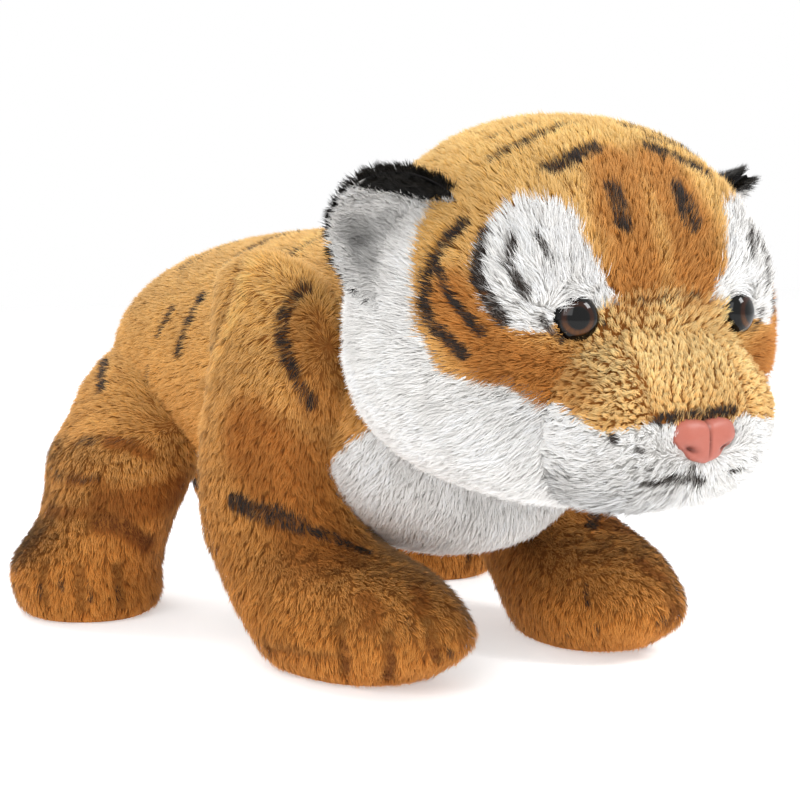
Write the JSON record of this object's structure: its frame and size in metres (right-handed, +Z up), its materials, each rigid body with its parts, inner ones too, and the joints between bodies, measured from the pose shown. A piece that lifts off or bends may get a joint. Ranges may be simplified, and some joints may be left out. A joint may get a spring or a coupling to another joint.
{
  "type": "plush tiger",
  "caption": "Stuffed tiger cub standing on four paws, head held low, with long striped pile, white cheeks and chest, round ears, glossy eyes and a moulded nose.",
  "frame": {"origin": "on the floor under the middle of the toy's box, level with the paw soles", "axes": "-Y is where the snout points, +Z is up, and +X is the toy's own left side"},
  "size_m": [0.2828, 0.4598, 0.243],
  "materials": {
    "tan_plush": "long orange tan pile with blackish stripes",
    "white_plush": "long white pile",
    "black_plush": "short black pile",
    "stuffing": "loose polyester fibre",
    "eye_plastic": "glossy, dark brown",
    "eye_lens": "glossy dome, amber with a black pupil",
    "nose_plastic": "satin pink, moulded",
    "washer_plastic": "natural, moulded"
  },
  "bodies": {
    "torso": {"torso_side_left": "tan_plush", "torso_side_right": "tan_plush", "torso_belly": "white_plush", "torso_stuffing": "stuffing"},
    "neck": {"neck_band": "tan_plush", "neck_stuffing": "stuffing"},
    "head": {"head_crown": "tan_plush", "head_throat": "white_plush", "head_cheek_left": "tan_plush", "head_cheek_right": "tan_plush", "head_ruff_left": "white_plush", "head_ruff_right": "white_plush", "eye_patch_left": "white_plush", "eye_patch_right": "white_plush", "head_stuffing": "stuffing", "eye_left_lens": "eye_lens", "eye_left_back": "eye_plastic", "eye_left_washer": "washer_plastic", "eye_right_lens": "eye_lens", "eye_right_back": "eye_plastic", "eye_right_washer": "washer_plastic", "muzzle_bridge": "tan_plush", "muzzle_side_left": "tan_plush", "muzzle_side_right": "tan_plush", "lip_left": "white_plush", "lip_right": "white_plush", "muzzle_stuffing": "stuffing", "nose": "nose_plastic", "nose_washer": "washer_plastic"},
    "ear_left": {"ear_front_left": "white_plush", "ear_back_left": "black_plush"},
    "ear_right": {"ear_front_right": "white_plush", "ear_back_right": "black_plush"},
    "tail_base": {"tail_base_skin": "tan_plush", "tail_base_stuffing": "stuffing"},
    "tail_end": {"tail_end_skin": "tan_plush", "tail_tip": "black_plush", "tail_end_stuffing": "stuffing"},
    "front_leg_left": {"front_leg_left_skin": "tan_plush", "front_leg_left_stuffing": "stuffing", "front_leg_left_sole": "tan_plush"},
    "front_leg_right": {"front_leg_right_skin": "tan_plush", "front_leg_right_stuffing": "stuffing", "front_leg_right_sole": "tan_plush"},
    "hind_leg_left": {"hind_leg_left_skin": "tan_plush", "hind_leg_left_stuffing": "stuffing", "hind_leg_left_sole": "tan_plush"},
    "hind_leg_right": {"hind_leg_right_skin": "tan_plush", "hind_leg_right_stuffing": "stuffing", "hind_leg_right_sole": "tan_plush"}
  },
  "joints": [
    {"name": "head_turn", "type": "hinge", "parent": "torso", "child": "neck", "pos_m": [0, -0.083, 0.14], "axis": [0, 0, 1], "range_deg": [-12, 12], "stiffness_Nm_per_rad": 4},
    {"name": "head_nod", "type": "hinge", "parent": "neck", "child": "head", "pos_m": [0, -0.083, 0.14], "axis": [1, 0, 0], "range_deg": [-10, 10], "stiffness_Nm_per_rad": 4},
    {"name": "ear_fold_left", "type": "hinge", "parent": "head", "child": "ear_left", "pos_m": [0.07629, -0.13886, 0.18705], "axis": [-0.4381, -0.5372, 0.7207], "range_deg": [-15, 15], "stiffness_Nm_per_rad": 0.05},
    {"name": "ear_fold_right", "type": "hinge", "parent": "head", "child": "ear_right", "pos_m": [-0.07629, -0.13886, 0.18705], "axis": [0.4381, -0.5372, 0.7207], "range_deg": [-15, 15], "stiffness_Nm_per_rad": 0.05},
    {"name": "front_leg_swing_left", "type": "hinge", "parent": "torso", "child": "front_leg_left", "pos_m": [0.072, -0.027, 0.115], "axis": [1, 0, 0], "range_deg": [-12, 12], "stiffness_Nm_per_rad": 2},
    {"name": "front_leg_swing_right", "type": "hinge", "parent": "torso", "child": "front_leg_right", "pos_m": [-0.072, -0.027, 0.115], "axis": [1, 0, 0], "range_deg": [-12, 12], "stiffness_Nm_per_rad": 2},
    {"name": "hind_leg_swing_left", "type": "hinge", "parent": "torso", "child": "hind_leg_left", "pos_m": [0.0688, 0.138, 0.098], "axis": [1, 0, 0], "range_deg": [-12, 12], "stiffness_Nm_per_rad": 2},
    {"name": "hind_leg_swing_right", "type": "hinge", "parent": "torso", "child": "hind_leg_right", "pos_m": [-0.0688, 0.138, 0.098], "axis": [1, 0, 0], "range_deg": [-12, 12], "stiffness_Nm_per_rad": 2},
    {"name": "tail_lift", "type": "hinge", "parent": "torso", "child": "tail_base", "pos_m": [0, 0.185, 0.15], "axis": [1, 0, 0], "range_deg": [-5, 25], "stiffness_Nm_per_rad": 0.3},
    {"name": "tail_swing", "type": "hinge", "parent": "tail_base", "child": "tail_end", "pos_m": [0.0053, 0.21914, 0.0877], "axis": [0, 1, 0], "range_deg": [-20, 20], "stiffness_Nm_per_rad": 0.1}
  ]
}
